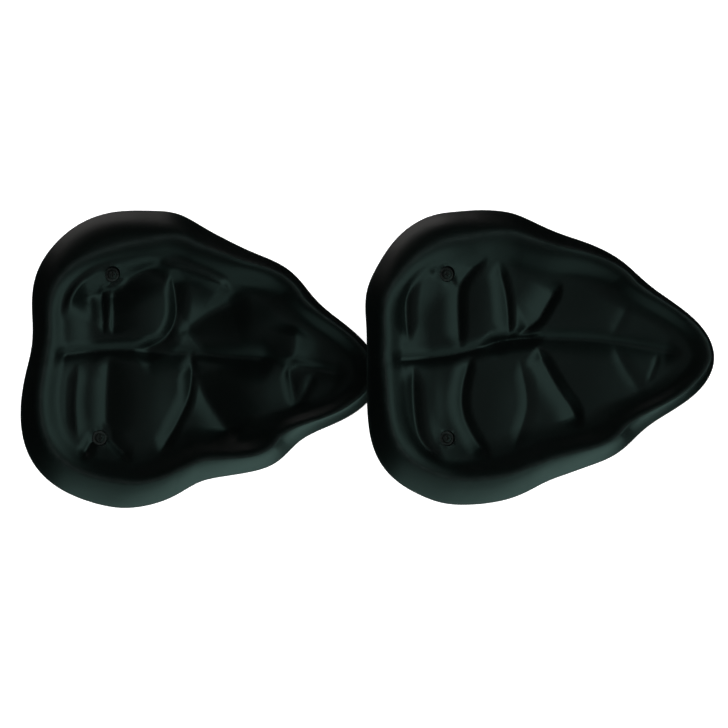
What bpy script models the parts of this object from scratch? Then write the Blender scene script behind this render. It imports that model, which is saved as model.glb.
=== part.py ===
"""Leaf grabber hands: a pair of leaf-shaped scoops, one for each hand.

Each hand is a moulded leaf shell with a D-shaped grip behind the palm. Two screws with washers go in
from the front of the leaf, through bosses in the shell, into the feet of the grip. Both hands lie face up,
each on the flat of its grip and the edge of its tip, and the left tip tucks under the right stem.

Leaf frame: +X from stem to tip, +Y across the leaf, +Z out of the hollow. The crest of the lip is at Z = 0.
"""

import math

import bmesh
import bpy
import numpy as np
from mathutils import Matrix, Vector

NAME = "leaf_grabber_hands"

# Outline of the leaf, as a radius about the leaf's centre. Angles are measured from the tip.
BODY_RADIUS = 0.1303
TIP_REACH = 0.0819
TIP_SPREAD = math.radians(22.8)
SHOULDER_REACH = 0.0166
SHOULDER_ANGLE = math.radians(38.9)
SHOULDER_SPREAD = math.radians(15.8)
LOBE_REACH = 0.0350
LOBE_ANGLE = math.radians(131.5)
LOBE_SPREAD = math.radians(40.1)

# Section of the shell, from the edge inwards.
WALL = 0.0026
SKIRT_LEAN = 0.0085
SKIRT_DEPTH = 0.0200
LIP_RADIUS = 0.0055
LIP_STEP = math.radians(45.0)
CREST_WIDTH = 0.00275
BANK_WIDTH = 0.0220
BANK_PROFILE = ((0.72, 0.90), (0.45, 0.55), (0.18, 0.16), (0.0, 0.02))
PALM_DEPTH = 0.0140
BOWL_DEPTH = 0.0290
BOWL_START = -0.0300
BOWL_SLOPE = 0.0700
TIP_DEPTH = 0.0130
TIP_START = 0.0600
TIP_SLOPE = 0.1000

# Midrib and side veins, pressed into the floor of the hollow.
MIDRIB_DEPTH = 0.0040
MIDRIB_WIDTH = 0.0110
VEIN_DEPTH = 0.0030
VEIN_WIDTH = 0.0120
VEIN_SWEEP = 0.4500
VEIN_FEET = (0.0150, 0.1000)

# Screws, washers and the bosses that they clamp.
SCREW_RADIUS = 0.0024
SCREW_LENGTH = 0.0240
SCREW_POINT = 0.0025
HEAD_RADIUS = 0.0047
HEAD_HEIGHT = 0.0034
CROWN_FALL = 0.0015
CROWN_PROFILE = ((0.0, 0.0), (0.55, 0.0), (0.85, 0.3), (1.0, 1.0))
CROSS_SPAN = 0.0050
CROSS_SLOT = 0.0011
CROSS_DEPTH = 0.0017
WASHER_RADIUS = 0.0070
WASHER_THICKNESS = 0.0012
BOSS_FLOOR = 0.0040
BOSS_WALL = 0.0045
SEAT_SINK = 0.0040

# Grip behind the palm.
BOSS_INSET = 0.0600
BOSS_ANGLE = math.radians(129.0)
GRIP_RADIUS = 0.0125
GRIP_BEND = 0.0230
FINGER_ROOM = 0.0330
FLAT_SINK = 0.0030
FOOT_RADIUS = 0.0150
FOOT_THICKNESS = 0.0050

# Clearances.
TOUCH_GAP = 0.0003
SCREW_CLEARANCE = 0.0003
SEAT_CLEARANCE = 0.0008

# How the pair lies.
LEFT_YAW = math.radians(-4.2)
PAIR_TUCK = 0.0130
PAIR_STEP = 0.0050

# Fineness of the mesh.
SPOKES = 56
ROUND_SIDES = 24
BAR_ROUND = 5
BEND_STEPS = 6
FLOOR_RINGS = 8
MERGE_DISTANCE = 0.00005
CUTTER_OVERSIZE = 4.0

# Finishes: colour, roughness and metallic value.
SHELL_FINISH = ((0.010, 0.018, 0.015), 0.34, 0.0)
GRIP_FINISH = ((0.012, 0.020, 0.017), 0.45, 0.0)
SCREW_FINISH = ((0.030, 0.032, 0.032), 0.35, 0.9)
WASHER_FINISH = ((0.040, 0.044, 0.042), 0.40, 0.8)


def swelling(angle, centres, spread):
    """A smooth rise of 1 at each centre angle, fading away on both sides over the spread."""
    total = 0.0
    for centre in centres:
        for turn in (-2.0 * math.pi, 0.0, 2.0 * math.pi):
            total = total + np.exp(-(((angle - centre + turn) / spread) ** 2))
    return total


def outline_radius(angle):
    """Distance from the leaf's centre to its edge: a circle swollen by a tip, shoulders and lobes."""
    tip = TIP_REACH * swelling(angle, (0.0,), TIP_SPREAD)
    shoulders = SHOULDER_REACH * swelling(angle, (-SHOULDER_ANGLE, SHOULDER_ANGLE), SHOULDER_SPREAD)
    lobes = LOBE_REACH * swelling(angle, (-LOBE_ANGLE, LOBE_ANGLE), LOBE_SPREAD)
    return BODY_RADIUS + tip + shoulders + lobes


def smooth_step(value):
    """0 below 0, 1 above 1, and a smooth rise between them."""
    clipped = np.clip(value, 0.0, 1.0)
    return clipped * clipped * (3.0 - 2.0 * clipped)


def floor_height(x, y):
    """Height of the hollow's floor: shallow over the palm, deep in the bowl, rising again at the tip."""
    depth = PALM_DEPTH + (BOWL_DEPTH - PALM_DEPTH) * smooth_step((x - BOWL_START) / BOWL_SLOPE)
    depth = depth + (TIP_DEPTH - BOWL_DEPTH) * smooth_step((x - TIP_START) / TIP_SLOPE)
    groove = MIDRIB_DEPTH * np.exp(-((y / MIDRIB_WIDTH) ** 2))
    for foot in VEIN_FEET:
        along = x - foot - VEIN_SWEEP * np.abs(y)
        branch = np.exp(-((along / VEIN_WIDTH) ** 2)) * smooth_step(np.abs(y) / VEIN_WIDTH)
        groove = groove + VEIN_DEPTH * branch
    return -(depth + groove)


def rim_section():
    """Points of the rim: distance in from the edge, share of the hollow's depth, fall below the crest."""
    crest = SKIRT_LEAN + LIP_RADIUS
    bank = [(crest + CREST_WIDTH + share * BANK_WIDTH, depth, 0.0) for share, depth in BANK_PROFILE]
    return bank + [
        (crest, 0.0, 0.0),
        (crest - LIP_RADIUS * math.sin(LIP_STEP), 0.0, LIP_RADIUS * (1.0 - math.cos(LIP_STEP))),
        (SKIRT_LEAN, 0.0, LIP_RADIUS),
        (0.0, 0.0, SKIRT_DEPTH),
    ]


def hollow_inset():
    """Distance from the edge to where the bank meets the floor of the hollow."""
    return SKIRT_LEAN + LIP_RADIUS + CREST_WIDTH + BANK_WIDTH


def make_collection(name):
    """A new collection in the scene."""
    collection = bpy.data.collections.new(name)
    bpy.context.scene.collection.children.link(collection)
    return collection


def make_material(name, colour, roughness, metallic):
    """A Principled material of one finish."""
    material = bpy.data.materials.new(name)
    material.use_nodes = True
    shader = material.node_tree.nodes["Principled BSDF"]
    shader.inputs["Base Color"].default_value = (*colour, 1.0)
    shader.inputs["Roughness"].default_value = roughness
    shader.inputs["Metallic"].default_value = metallic
    return material


def make_object(name, mesh, collection, parent, material=None):
    """An object for the mesh, held by the parent."""
    piece = bpy.data.objects.new(name, mesh)
    collection.objects.link(piece)
    piece.parent = parent
    if material:
        mesh.materials.append(material)
    return piece


def mark_cutter(piece):
    """Keep a cutter out of the model."""
    piece.hide_render = True
    piece.display_type = "WIRE"


def add_boolean(piece, other, operation):
    """Cut or join the piece with another object."""
    step = piece.modifiers.new(f"{operation.lower()} {other.name}", "BOOLEAN")
    step.operation = operation
    step.object = other
    step.solver = "EXACT"


def make_cylinder(name, radius, low, high, centre, collection, parent):
    """A cylinder along Z from low to high, about a centre given as (x, y)."""
    mesh = bpy.data.meshes.new(name)
    body = bmesh.new()
    place = Matrix.Translation((centre[0], centre[1], 0.5 * (low + high)))
    bmesh.ops.create_cone(
        body,
        cap_ends=True,
        segments=ROUND_SIDES,
        radius1=radius,
        radius2=radius,
        depth=high - low,
        matrix=place,
    )
    body.to_mesh(mesh)
    body.free()
    return make_object(name, mesh, collection, parent)


def make_turned(name, profile, collection, parent, material):
    """A turned piece: a profile of (radius, height) points, down the outer side, about Z."""
    mesh = bpy.data.meshes.new(name)
    edges = [(index, index + 1) for index in range(len(profile) - 1)]
    mesh.from_pydata([(radius, 0.0, height) for radius, height in profile], edges, [])
    piece = make_object(name, mesh, collection, parent, material)
    screw = piece.modifiers.new("turn", "SCREW")
    screw.steps = ROUND_SIDES
    screw.render_steps = ROUND_SIDES
    screw.use_merge_vertices = True
    screw.merge_threshold = MERGE_DISTANCE
    screw.use_smooth_shade = True
    return piece


def boss_places():
    """Centres of the two screw bosses in the leaf frame, upper first."""
    reach = float(outline_radius(BOSS_ANGLE)) - BOSS_INSET
    x = reach * math.cos(BOSS_ANGLE)
    y = reach * math.sin(BOSS_ANGLE)
    return {"upper": (x, y), "lower": (x, -y)}


def seat_height():
    """Height of the face that the washer seats on."""
    return -(PALM_DEPTH + SEAT_SINK)


def boss_underside():
    """Height of the face that the grip's foot bears on."""
    return seat_height() - BOSS_FLOOR


def grip_axis_height():
    """Height of the grip bar's centre line in the leaf frame."""
    return -(PALM_DEPTH + WALL + FINGER_ROOM + GRIP_RADIUS)


def edge_contact():
    """Lowest corner of the tip's edge, inside the wall, as (x, z) in the leaf frame."""
    fall = SKIRT_DEPTH - LIP_RADIUS
    slope = math.hypot(fall, SKIRT_LEAN)
    reach = float(outline_radius(0.0)) - WALL * fall / slope
    return reach, -(SKIRT_DEPTH + WALL * SKIRT_LEAN / slope)


def rest_tilt():
    """Angle about +Y at which a hand lies on the flat of its grip and the edge of its tip."""
    bar_x = boss_places()["upper"][0]
    edge_x, edge_z = edge_contact()
    run = edge_x - bar_x
    drop = grip_axis_height() - edge_z
    return math.asin((GRIP_RADIUS - FLAT_SINK) / math.hypot(run, drop)) - math.atan2(drop, run)


def rest_height():
    """Height of the leaf frame's origin above the ground."""
    edge_x, edge_z = edge_contact()
    return edge_x * math.sin(rest_tilt()) - edge_z * math.cos(rest_tilt())


def spin_disc():
    """A disc turned about Z, whose rings stand for the rings of the shell, one unit apart."""
    rings = FLOOR_RINGS + len(rim_section())
    disc = bmesh.new()
    chain = [disc.verts.new((float(ring), 0.0, 0.0)) for ring in range(rings)]
    for inner, outer in zip(chain, chain[1:]):
        disc.edges.new((inner, outer))
    bmesh.ops.spin(
        disc,
        geom=disc.verts[:] + disc.edges[:],
        axis=(0.0, 0.0, 1.0),
        cent=(0.0, 0.0, 0.0),
        angle=2.0 * math.pi,
        steps=SPOKES,
        use_merge=True,
    )
    bmesh.ops.remove_doubles(disc, verts=disc.verts[:], dist=MERGE_DISTANCE)
    bmesh.ops.recalc_face_normals(disc, faces=disc.faces[:])
    if sum(face.normal.z for face in disc.faces) < 0.0:
        bmesh.ops.reverse_faces(disc, faces=disc.faces[:])
    return disc


def shape_leaf(disc):
    """Move each ring of the disc to its place on the leaf: floor rings first, then the rim's section."""
    places = np.array([vertex.co[:] for vertex in disc.verts])
    rings = np.rint(np.hypot(places[:, 0], places[:, 1])).astype(int)
    angles = np.arctan2(places[:, 1], places[:, 0])
    edge = outline_radius(angles)
    rim = np.array(rim_section())
    share = np.minimum(rings / (FLOOR_RINGS - 1.0), 1.0)
    rim_rows = np.clip(rings - FLOOR_RINGS, 0, len(rim) - 1)
    on_rim = rings >= FLOOR_RINGS
    reach = np.where(on_rim, edge - rim[rim_rows, 0], share * (edge - hollow_inset()))
    x = reach * np.cos(angles)
    y = reach * np.sin(angles)
    floor = floor_height(x, y)
    z = np.where(on_rim, floor * rim[rim_rows, 1] - rim[rim_rows, 2], floor)
    for vertex, place in zip(disc.verts, np.column_stack((x, y, z))):
        vertex.co = place


def make_leaf_shell(side, collection, cutters, parent, material):
    """The moulded leaf: an open surface given its wall, with a boss and a sunk seat at each screw."""
    disc = spin_disc()
    shape_leaf(disc)
    mesh = bpy.data.meshes.new(f"{side}_leaf_shell")
    disc.to_mesh(mesh)
    disc.free()
    mesh.shade_smooth()
    shell = make_object(f"{side}_leaf_shell", mesh, collection, parent, material)
    wall = shell.modifiers.new("wall", "SOLIDIFY")
    wall.thickness = WALL
    wall.offset = -1.0
    seat_radius = WASHER_RADIUS + SEAT_CLEARANCE
    for row, centre in boss_places().items():
        label = f"{side}_{row}"
        top = -0.5 * WALL - PALM_DEPTH
        boss = make_cylinder(
            f"{label}_boss", seat_radius + BOSS_WALL, boss_underside(), top, centre, cutters, parent
        )
        seat = make_cylinder(f"{label}_seat", seat_radius, seat_height(), 0.0, centre, cutters, parent)
        hole_radius = SCREW_RADIUS + SCREW_CLEARANCE
        hole_low = boss_underside() - BOSS_FLOOR
        hole = make_cylinder(f"{label}_hole", hole_radius, hole_low, 0.0, centre, cutters, parent)
        for cutter, operation in ((boss, "UNION"), (seat, "DIFFERENCE"), (hole, "DIFFERENCE")):
            mark_cutter(cutter)
            add_boolean(shell, cutter, operation)
    return shell


def grip_path():
    """Centre line of the grip in the leaf frame: down one leg, round a bend, along the bar and back up."""
    upper = boss_places()["upper"]
    top = boss_underside() - TOUCH_GAP - 0.5 * FOOT_THICKNESS
    low = grip_axis_height()
    turns = [math.radians(90.0) * step / BEND_STEPS for step in range(BEND_STEPS + 1)]
    half = [(upper[0], upper[1], top)]
    for turn in turns:
        y = upper[1] - GRIP_BEND * (1.0 - math.cos(turn))
        z = low + GRIP_BEND * (1.0 - math.sin(turn))
        half.append((upper[0], y, z))
    return half + [(x, -y, z) for x, y, z in reversed(half)]


def curve_to_mesh(curve_object, name):
    """The curve's tube as a mesh with its caps welded."""
    graph = bpy.context.evaluated_depsgraph_get()
    mesh = bpy.data.meshes.new_from_object(curve_object.evaluated_get(graph))
    mesh.name = name
    body = bmesh.new()
    body.from_mesh(mesh)
    bmesh.ops.remove_doubles(body, verts=body.verts[:], dist=MERGE_DISTANCE)
    bmesh.ops.recalc_face_normals(body, faces=body.faces[:])
    body.to_mesh(mesh)
    body.free()
    bpy.data.objects.remove(curve_object)
    return mesh


def make_grip_bar(name, collection, parent, material):
    """The bent bar of the grip."""
    curve = bpy.data.curves.new(name, "CURVE")
    curve.dimensions = "3D"
    curve.bevel_depth = GRIP_RADIUS
    curve.bevel_resolution = BAR_ROUND
    curve.use_fill_caps = True
    path = grip_path()
    spline = curve.splines.new("POLY")
    spline.points.add(len(path) - 1)
    for point, place in zip(spline.points, path):
        point.co = (*place, 1.0)
    tube = bpy.data.objects.new(f"{name}_path", curve)
    bpy.context.scene.collection.objects.link(tube)
    mesh = curve_to_mesh(tube, name)
    mesh.shade_smooth()
    return make_object(name, mesh, collection, parent, material)


def make_flat_cutter(name, collection, parent):
    """A block that cuts the rest flat under the bar, level with the ground as the hand lies."""
    tilt = rest_tilt()
    width = CUTTER_OVERSIZE * GRIP_RADIUS
    length = CUTTER_OVERSIZE * boss_places()["upper"][1]
    sink = GRIP_RADIUS - FLAT_SINK + 0.5 * width
    bar = Vector((boss_places()["upper"][0], 0.0, grip_axis_height()))
    turn = Matrix.Rotation(-tilt, 4, "Y")
    mesh = bpy.data.meshes.new(name)
    body = bmesh.new()
    bmesh.ops.create_cube(body, size=1.0, matrix=Matrix.Diagonal((width, length, width, 1.0)))
    body.to_mesh(mesh)
    body.free()
    cutter = make_object(name, mesh, collection, parent)
    cutter.location = bar + turn @ Vector((0.0, 0.0, -sink))
    cutter.rotation_euler = (0.0, -tilt, 0.0)
    mark_cutter(cutter)
    return cutter


def make_grip(side, collection, cutters, parent, material):
    """The D-shaped grip: a bar with a round foot at each end, a pilot hole in each foot and a rest flat."""
    grip = make_grip_bar(f"{side}_grip", collection, parent, material)
    foot_top = boss_underside() - TOUCH_GAP
    foot_low = foot_top - FOOT_THICKNESS
    pilot_low = screw_head_height() - SCREW_LENGTH - SCREW_RADIUS
    for row, centre in boss_places().items():
        label = f"{side}_{row}"
        foot = make_cylinder(f"{label}_foot", FOOT_RADIUS, foot_low, foot_top, centre, cutters, parent)
        pilot_radius = SCREW_RADIUS + SCREW_CLEARANCE
        pilot_top = foot_top + FOOT_THICKNESS
        pilot = make_cylinder(f"{label}_pilot", pilot_radius, pilot_low, pilot_top, centre, cutters, parent)
        mark_cutter(foot)
        mark_cutter(pilot)
        add_boolean(grip, foot, "UNION")
        add_boolean(grip, pilot, "DIFFERENCE")
    add_boolean(grip, make_flat_cutter(f"{side}_rest_flat", cutters, parent), "DIFFERENCE")
    return grip


def screw_head_height():
    """Height of the underside of the screw's head."""
    return seat_height() + WASHER_THICKNESS + 2.0 * TOUCH_GAP


def screw_profile():
    """Half section of a pan-head screw, from head to point, with the underside of the head at Z = 0."""
    crown = [(share * HEAD_RADIUS, HEAD_HEIGHT - fall * CROWN_FALL) for share, fall in CROWN_PROFILE]
    return crown + [
        (HEAD_RADIUS, 0.0),
        (SCREW_RADIUS, 0.0),
        (SCREW_RADIUS, -SCREW_LENGTH + SCREW_POINT),
        (0.0, -SCREW_LENGTH),
    ]


def make_cross_cutter(name, collection, parent):
    """Two crossed blocks that cut the driver recess, joined into one body about the top of the head."""
    mesh = bpy.data.meshes.new(name)
    body = bmesh.new()
    height = 2.0 * CROSS_DEPTH
    bmesh.ops.create_cube(body, size=1.0, matrix=Matrix.Diagonal((CROSS_SPAN, CROSS_SLOT, height, 1.0)))
    body.to_mesh(mesh)
    body.free()
    first = make_object(name, mesh, collection, parent)
    second = make_object(f"{name}_arm", mesh, collection, first)
    second.rotation_euler = (0.0, 0.0, math.radians(90.0))
    for cutter in (first, second):
        mark_cutter(cutter)
    add_boolean(first, second, "UNION")
    return first


def make_screw(side, row, centre, collection, cutters, parent, material):
    """A pan-head screw with a cross recess, standing in its boss."""
    screw = make_turned(f"{side}_{row}_grip_screw", screw_profile(), collection, parent, material)
    screw.location = (*centre, screw_head_height())
    recess = make_cross_cutter(f"{side}_{row}_recess", cutters, screw)
    recess.location = (0.0, 0.0, HEAD_HEIGHT)
    add_boolean(screw, recess, "DIFFERENCE")
    return screw


def make_washer(side, row, centre, collection, parent, material):
    """A flat washer: a ring turned from a rectangle."""
    bore = SCREW_RADIUS + SCREW_CLEARANCE
    ring = [
        (bore, WASHER_THICKNESS),
        (WASHER_RADIUS, WASHER_THICKNESS),
        (WASHER_RADIUS, 0.0),
        (bore, 0.0),
        (bore, WASHER_THICKNESS),
    ]
    washer = make_turned(f"{side}_{row}_screw_washer", ring, collection, parent, material)
    washer.location = (*centre, seat_height() + TOUCH_GAP)
    return washer


def make_hand(side, collection, cutters, materials):
    """One whole hand on an empty at its leaf frame."""
    hand = bpy.data.objects.new(f"{side}_hand", None)
    collection.objects.link(hand)
    hand.rotation_euler = (0.0, rest_tilt(), 0.0)
    make_leaf_shell(side, collection, cutters, hand, materials["shell"])
    make_grip(side, collection, cutters, hand, materials["grip"])
    for row, centre in boss_places().items():
        make_screw(side, row, centre, collection, cutters, hand, materials["screw"])
        make_washer(side, row, centre, collection, hand, materials["washer"])
    return hand


def lay_pair(left, right):
    """Set the hands end to end on the ground, the left tip tucked under the right stem."""
    flatten = math.cos(rest_tilt())
    reach = flatten * float(outline_radius(0.0) + outline_radius(math.pi))
    right.location = (reach - PAIR_TUCK, PAIR_STEP, rest_height())
    left.location = (0.0, 0.0, rest_height())
    left.rotation_euler = (0.0, rest_tilt(), LEFT_YAW)


def centre_pair(left, right, collection):
    """Move the pair so that the middle of its footprint is at the origin."""
    bpy.context.view_layer.update()
    graph = bpy.context.evaluated_depsgraph_get()
    corners = []
    for piece in collection.objects:
        if piece.type == "MESH":
            solid = piece.evaluated_get(graph)
            corners += [solid.matrix_world @ vertex.co for vertex in solid.data.vertices]
    points = np.array([corner[:] for corner in corners])
    shift = 0.5 * (points.min(axis=0) + points.max(axis=0))
    low = points.min(axis=0)[2]
    for hand in (left, right):
        hand.location -= Vector((shift[0], shift[1], low))


def build():
    """Make the pair."""
    for old in list(bpy.data.objects):
        bpy.data.objects.remove(old)
    collection = make_collection(NAME)
    cutters = make_collection("cutters")
    materials = {
        "shell": make_material("leaf_plastic", *SHELL_FINISH),
        "grip": make_material("grip_plastic", *GRIP_FINISH),
        "screw": make_material("black_screw_steel", *SCREW_FINISH),
        "washer": make_material("washer_steel", *WASHER_FINISH),
    }
    left = make_hand("left", collection, cutters, materials)
    right = make_hand("right", collection, cutters, materials)
    lay_pair(left, right)
    centre_pair(left, right, collection)


build()
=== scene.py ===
"""Leaf grabber hands: the finished look of a pair of moulded leaf scoops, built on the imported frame."""

import math

import bpy
import numpy as np
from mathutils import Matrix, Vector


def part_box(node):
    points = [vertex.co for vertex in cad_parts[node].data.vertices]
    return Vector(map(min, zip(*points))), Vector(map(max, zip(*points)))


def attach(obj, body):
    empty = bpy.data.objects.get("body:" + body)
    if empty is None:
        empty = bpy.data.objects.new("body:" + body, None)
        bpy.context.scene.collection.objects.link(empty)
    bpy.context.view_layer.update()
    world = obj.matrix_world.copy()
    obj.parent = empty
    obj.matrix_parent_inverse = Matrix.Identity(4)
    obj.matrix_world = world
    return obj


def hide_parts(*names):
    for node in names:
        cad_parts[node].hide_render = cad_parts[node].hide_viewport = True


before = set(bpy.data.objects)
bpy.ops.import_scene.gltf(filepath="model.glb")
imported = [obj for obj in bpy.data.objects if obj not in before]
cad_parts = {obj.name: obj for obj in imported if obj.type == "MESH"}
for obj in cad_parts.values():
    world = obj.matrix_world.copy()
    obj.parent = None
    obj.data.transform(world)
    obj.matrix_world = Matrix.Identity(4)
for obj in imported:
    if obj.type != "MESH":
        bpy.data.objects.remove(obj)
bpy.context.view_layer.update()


# ---------------------------------------------------------------------------------------------------------
# Viewpoint: the pair lies face up and is looked at from almost straight above with a long lens, so that
# both leaves show their outline with little perspective.
# ---------------------------------------------------------------------------------------------------------

CAMERA_DISTANCE = 3.1
VIEW_WIDTH = 0.728
SENSOR_WIDTH = 36.0
CAMERA_LEAN = math.radians(2.0)
AIM = (-0.0085, -0.0065, 0.045)

camera_data = bpy.data.cameras.new("overhead_camera")
camera_data.sensor_width = SENSOR_WIDTH
camera_data.lens = SENSOR_WIDTH * CAMERA_DISTANCE / VIEW_WIDTH
camera = bpy.data.objects.new("overhead_camera", camera_data)
camera.location = (
    AIM[0],
    AIM[1] - CAMERA_DISTANCE * math.sin(CAMERA_LEAN),
    AIM[2] + CAMERA_DISTANCE * math.cos(CAMERA_LEAN),
)
camera.rotation_euler = (CAMERA_LEAN, 0.0, 0.0)
bpy.context.scene.collection.objects.link(camera)
bpy.context.scene.camera = camera


# ---------------------------------------------------------------------------------------------------------
# Studio: a white table, a broad soft light overhead that only lights, and five soft boxes that only
# shine: one high, one to the right, two on the near side and one beyond. They draw the cool sheen on
# every face of the plastic that turns towards them.
# ---------------------------------------------------------------------------------------------------------

TABLE_SIZE = 60.0
TABLE_DROP = 0.0004
TABLE_GLOW = 0.75
TABLE_COLOUR = (0.93, 0.93, 0.93, 1.0)
OVERHEAD_HEIGHT = 2.6
OVERHEAD_SIZE = (3.2, 3.2)
OVERHEAD_POWER = 128.0
SOFT_BOX_DISTANCE = 3.2
ROOM_GLOW = 0.003
WHITE = (1.0, 1.0, 1.0)
COOL = (0.58, 1.0, 0.90)
PALE_COOL = (0.72, 1.0, 0.95)
NEUTRAL = (1.0, 0.96, 0.94)


def place_soft_box(name, azimuth, elevation, distance, size, power, colour):
    """An area light at an azimuth (0 is +X, 90 is +Y) and elevation round the origin, facing it."""
    data = bpy.data.lights.new(name, "AREA")
    data.shape = "RECTANGLE"
    data.size, data.size_y = size
    data.energy = power
    data.color = colour
    lamp = bpy.data.objects.new(name, data)
    turn = math.radians(azimuth)
    lift = math.radians(elevation)
    away = np.array([math.cos(lift) * math.cos(turn), math.cos(lift) * math.sin(turn), math.sin(lift)])
    lamp.location = distance * away
    lamp.rotation_euler = (math.radians(90.0 - elevation), 0.0, turn + math.radians(90.0))
    lamp.visible_camera = False
    bpy.context.scene.collection.objects.link(lamp)
    return lamp


table_mesh = bpy.data.meshes.new("table_top")
half_table = 0.5 * TABLE_SIZE
table_mesh.from_pydata(
    [(x * half_table, y * half_table, -TABLE_DROP) for x, y in ((-1, -1), (1, -1), (1, 1), (-1, 1))],
    [],
    [(0, 1, 2, 3)],
)
table = bpy.data.objects.new("table_top", table_mesh)
bpy.context.scene.collection.objects.link(table)
table_paint = bpy.data.materials.new("white_table")
table_paint.use_nodes = True
table_shader = table_paint.node_tree.nodes["Principled BSDF"]
table_shader.inputs["Base Color"].default_value = TABLE_COLOUR
table_shader.inputs["Roughness"].default_value = 0.9
table_shader.inputs["Specular IOR Level"].default_value = 0.1
table_shader.inputs["Emission Color"].default_value = (*WHITE, 1.0)
table_shader.inputs["Emission Strength"].default_value = TABLE_GLOW
table_mesh.materials.append(table_paint)
table.visible_glossy = False
table.visible_shadow = False

overhead = place_soft_box("overhead_soft_box", 0, 90, OVERHEAD_HEIGHT, OVERHEAD_SIZE, OVERHEAD_POWER, WHITE)
overhead.visible_glossy = False
for name, azimuth, elevation, box_size, power, colour in (
    ("sheen_soft_box", 0, 70, (3.1, 2.5), 2.15, PALE_COOL),
    ("right_soft_box", -4, 34, (5.2, 1.6), 24.0, COOL),
    ("near_low_box", -82, -16, (5.2, 2.2), 47.0, COOL),
    ("near_high_box", -84, 20, (5.0, 1.8), 12.5, COOL),
    ("far_low_box", 110, -6, (2.9, 1.9), 17.0, NEUTRAL),
):
    box = place_soft_box(name, azimuth, elevation, SOFT_BOX_DISTANCE, box_size, power, colour)
    box.visible_diffuse = False

world = bpy.data.worlds.new("dim_room")
world.use_nodes = True
background = world.node_tree.nodes["Background"]
background.inputs["Color"].default_value = (*WHITE, 1.0)
background.inputs["Strength"].default_value = ROOM_GLOW
bpy.context.scene.world = world
bpy.context.scene.view_settings.view_transform = "Standard"


# ---------------------------------------------------------------------------------------------------------
# Leaf shells: each is one injection moulding in dark green polypropylene, about 2.6 mm thick, with a
# rolled lip, an outer skirt, a pressed midrib and veins, and a sunk seat for each grip screw. The colour
# is in the plastic, and the gate and the tool leave a fine grain and faint flow marks.
# ---------------------------------------------------------------------------------------------------------

MM = 0.001
# the grid of the face and of the back: spokes round it, rows over the floor and finer rows over the rim
SPOKES = 480
FLOOR_ROWS = 98
RIM_ROWS = 44
BACK_FLOOR_ROWS = 34
BACK_RIM_ROWS = 20
RIM_START = 0.84
# outline: mm of radius, and the angle and spread in degrees of what swells it
MIDDLE_RADIUS = 130.3
TIP_RISE, TIP_SPREAD = 81.9, 22.8
TIP_SIDE_RISE, TIP_SIDE_ANGLE, TIP_SIDE_SPREAD = 16.6, 38.9, 15.8
LOBE_RISE, LOBE_ANGLE, LOBE_SPREAD = 35.0, 131.5, 40.1
# lip: angle in degrees, and mm from the edge in to its crest
LIP_STOPS = (
    (-180, 13.5), (-150, 20), (-110, 26), (-84, 24), (-76, 20.5), (-36, 17), (-31, 18.5),
    (-8, 15), (0, 9), (31, 11.5), (36, 10), (76, 17), (84, 19), (180, 13.5),
)
UPPER_LOBE_ANGLE, UPPER_LOBE_SPREAD = 122.0, 27.0
LIP_BEAD = 1.3 * MM
LIP_BEAD_WIDTH = 2.2 * MM
BEAD_ANGLE, BEAD_SPREAD = 60.0, 17.0
SKIRT_DEPTH = 20.0 * MM
SKIRT_ROUNDNESS = 1.25
# bank inside the lip: angle in degrees, and mm of width
BANK_STOPS = ((-180, 21), (-115, 24), (-60, 22), (0, 20), (60, 24), (120, 20), (180, 21))
UPPER_BANK_ANGLE, UPPER_BANK_SPREAD = 95.0, 40.0
BANK_DROP = 5.0 * MM
RELIEF_START = 0.4
HOLLOW_WIDTH = 52.0 * MM
TIP_PINCH = 0.16
# floor: depths at the palm and the tip, and where along the leaf, in mm, each eases into the bowl's
PALM_DEPTH = 14.0 * MM
PALM_END, PALM_FADE = -60.0, 120.0
TIP_DEPTH = 11.0 * MM
TIP_START, TIP_FADE = 60.0, 115.0
STEM_Y, STEM_HALF_WIDTH = -4.0, 7.0
STEM_DIP = 2.0 * MM
# pressed lines: how they narrow at their ends, how round their bottoms are, how soft they show behind
CORNER_CUTS = 2
NARROW_END = 0.4
ROUND_BOTTOM = 0.05
BACK_SOFTENING = 1.5
WALL = 2.6 * MM
EDGE_ROUND = 0.5 * MM
# screw bosses and their seats
BOSS_INSET = 60.0 * MM
BOSS_ANGLE = math.radians(129.0)
SEAT_SINK = 4.0 * MM
SEAT_RADIUS = 7.8 * MM
SEAT_WALL, SEAT_PULL = 0.15 * MM, 2.3 * MM
BOSS_RADIUS = 12.3 * MM
BOSS_FLOOR = 4.0 * MM
BOSS_WALL, BOSS_PULL = 0.3 * MM, 4.8 * MM
BOSS_ROOM = 19.0 * MM
BOSS_DIP = 2.6 * MM
WASHER_MID = 0.9 * MM
# where handling rubs: half widths of the bands along the lip's crest and along the edge
CREST_RUB = 3.0 * MM
EDGE_RUB = 1.5 * MM
# plastic: place and colour of each end of the flow marks, and what rubbing does to colour and gloss
PLASTIC_IOR = 1.49
LEAF_DARK = (0.3, (0.0006, 0.0010, 0.0009))
LEAF_PALE = (0.7, (0.0011, 0.0017, 0.0016))
LEAF_RUBBED = (0.005, 0.008, 0.0075, 1.0)
RUB_DULLING = 0.14


def swelling(angle, centres, spread):
    """A bell of height 1 at each centre angle, in degrees: e to the power of minus the square of the
    angle from the centre over the spread."""
    total = 0.0
    for centre in centres:
        for turn in (-360.0, 0.0, 360.0):
            total = total + np.exp(-(((np.degrees(angle) - centre + turn) / spread) ** 2))
    return total


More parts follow.
